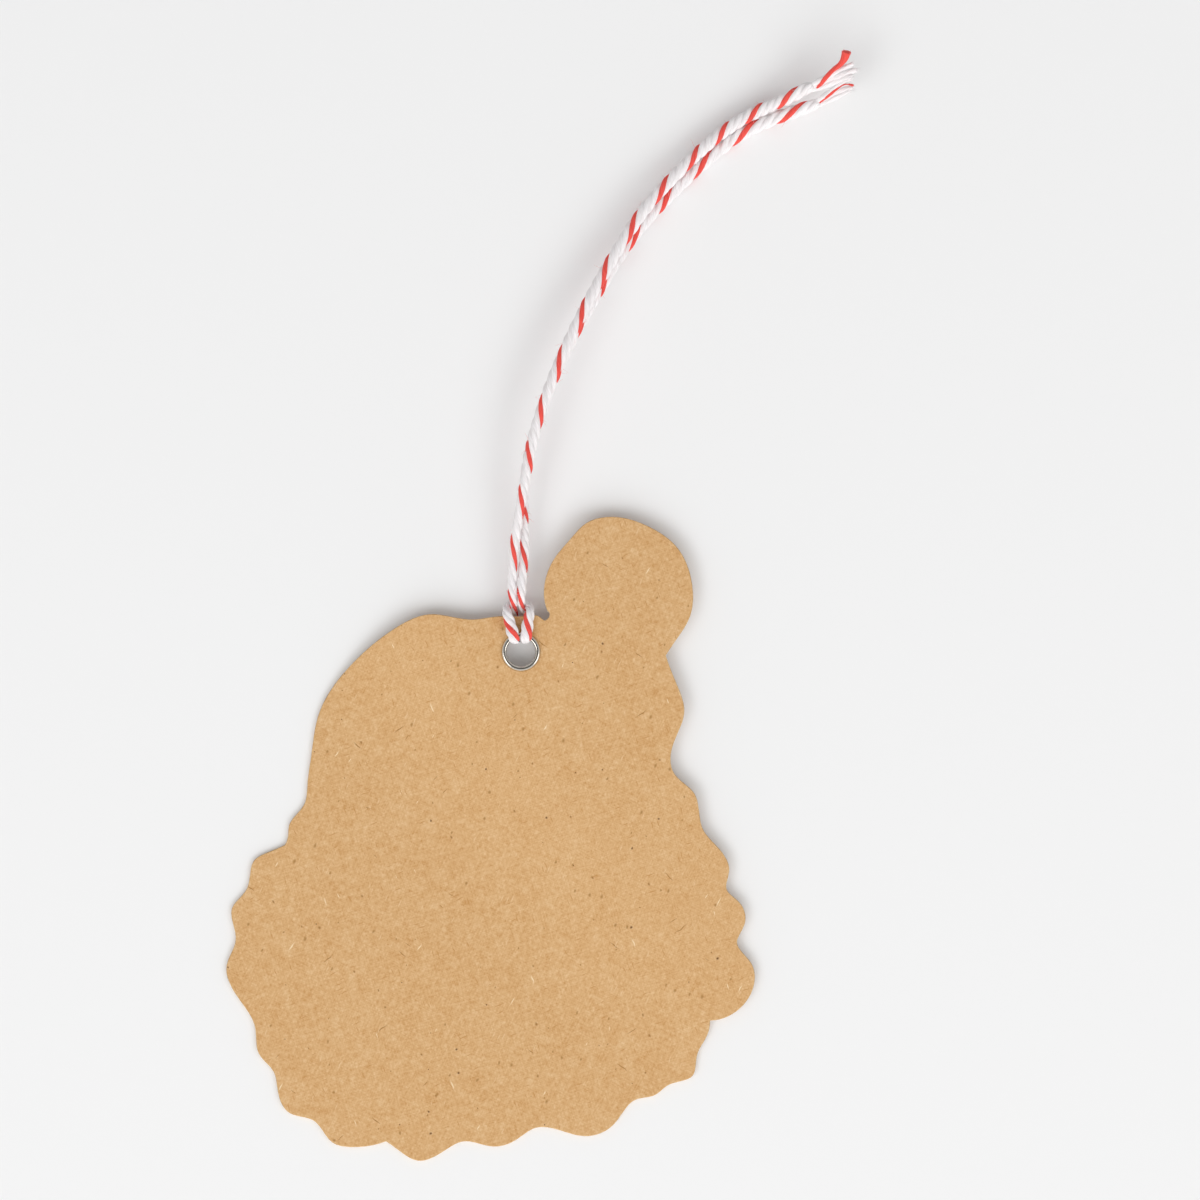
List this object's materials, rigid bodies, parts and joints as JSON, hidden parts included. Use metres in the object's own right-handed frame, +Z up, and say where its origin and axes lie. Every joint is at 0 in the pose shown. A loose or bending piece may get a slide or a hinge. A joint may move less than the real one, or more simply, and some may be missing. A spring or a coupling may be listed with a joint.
{
  "type": "gift tag",
  "caption": "Flat kraft card gift tag die-cut as a festive capped figure with a bobble and scalloped sides, with a metal eyelet and twisted two-colour twine tied through it.",
  "frame": {"origin": "centre of the card's box in X and Y, on the surface that the tag lies on", "axes": "+Z up from the surface towards the viewer of the blank face, +Y from the lowest scallop towards the bobble, +X to the right"},
  "size_m": [0.0704, 0.1226, 0.006],
  "materials": {
    "kraft_card": "matte",
    "nickel_plate": "polished",
    "cotton_twine": "matte",
    "red_yarn": "matte"
  },
  "bodies": {
    "card": {"tag_card": "kraft_card", "eyelet": "nickel_plate"},
    "hitch": {"twine_hitch": "cotton_twine"},
    "tails": {"left_tail": "cotton_twine", "right_tail": "cotton_twine", "left_tip": "cotton_twine", "right_tip": "cotton_twine"}
  },
  "joints": [
    {"name": "hitch_swing", "type": "hinge", "parent": "card", "child": "hitch", "pos_m": [0.0034, 0.02078, 0.00143], "axis": [0, -0.0252, 0.9997], "range_deg": [-6, 10]},
    {"name": "tails_lift", "type": "hinge", "parent": "hitch", "child": "tails", "pos_m": [0.00304, 0.0289, 0.00256], "axis": [0.999, 0.0436, 0.0011], "range_deg": [0, 105]}
  ]
}
